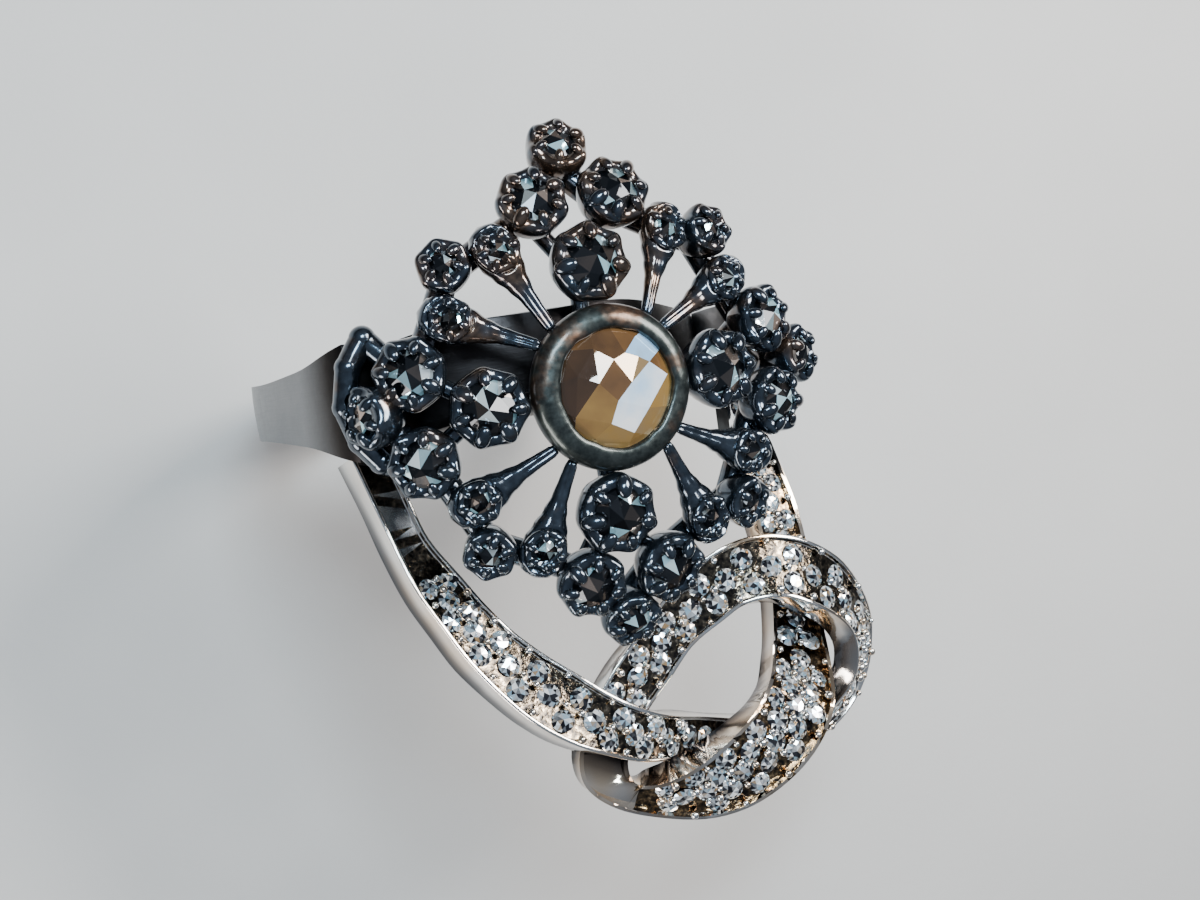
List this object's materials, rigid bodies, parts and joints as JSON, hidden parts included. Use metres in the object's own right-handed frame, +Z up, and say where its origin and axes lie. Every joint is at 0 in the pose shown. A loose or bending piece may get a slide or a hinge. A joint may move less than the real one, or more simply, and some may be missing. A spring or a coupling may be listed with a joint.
{
  "type": "engagement ring",
  "caption": "Finger ring with a domed openwork head of rose-cut diamonds in blackened silver, held beside a pave-set ribbon tied in a knot.",
  "frame": {"origin": "centre of the finger hole", "axes": "+Y along the finger, away from the ribbon's knot; +Z up through the head; +X across the finger"},
  "size_m": [0.026, 0.0315, 0.0256],
  "materials": {
    "band_metal": "satin, fine scratches",
    "white_gold": "polished",
    "dark_silver": "blackened, glossy",
    "foil": "bright foil",
    "champagne_diamond": "polished facets",
    "rose_diamond": "polished facets",
    "pave_diamond": "polished facets"
  },
  "bodies": {
    "root": {"beads_curve": "white_gold", "beads_loop": "white_gold", "beads_sweep": "white_gold", "cup_apex_east": "dark_silver", "cup_apex_north": "dark_silver", "cup_apex_south": "dark_silver", "cup_apex_west": "dark_silver", "cup_ball_east": "dark_silver", "cup_ball_north": "dark_silver", "cup_ball_south": "dark_silver", "cup_ball_west": "dark_silver", "cup_centre": "dark_silver", "cup_flank_east_a": "dark_silver", "cup_flank_east_b": "dark_silver", "cup_flank_north_a": "dark_silver", "cup_flank_north_b": "dark_silver", "cup_flank_south_a": "dark_silver", "cup_flank_south_b": "dark_silver", "cup_flank_west_a": "dark_silver", "cup_flank_west_b": "dark_silver", "cup_inner_east": "dark_silver", "cup_inner_north": "dark_silver", "cup_inner_south": "dark_silver", "cup_inner_west": "dark_silver", "diamond_centre": "champagne_diamond", "diamond_inner_east": "rose_diamond", "diamond_inner_north": "rose_diamond", "diamond_inner_south": "rose_diamond", "diamond_inner_west": "rose_diamond", "diamonds_apex": "rose_diamond", "diamonds_ball": "rose_diamond", "diamonds_curve": "pave_diamond", "diamonds_flank": "rose_diamond", "diamonds_leaf": "rose_diamond", "diamonds_loop": "pave_diamond", "diamonds_sweep": "pave_diamond", "finger_band": "band_metal", "foil_centre": "foil", "head_frame": "dark_silver", "leaf_east_a": "dark_silver", "leaf_east_b": "dark_silver", "leaf_north_a": "dark_silver", "leaf_north_b": "dark_silver", "leaf_south_a": "dark_silver", "leaf_south_b": "dark_silver", "leaf_west_a": "dark_silver", "leaf_west_b": "dark_silver", "ribbon_curve": "white_gold", "ribbon_loop": "white_gold", "ribbon_sweep": "white_gold", "shoulder_left": "band_metal", "shoulder_right": "band_metal"}
  },
  "joints": []
}
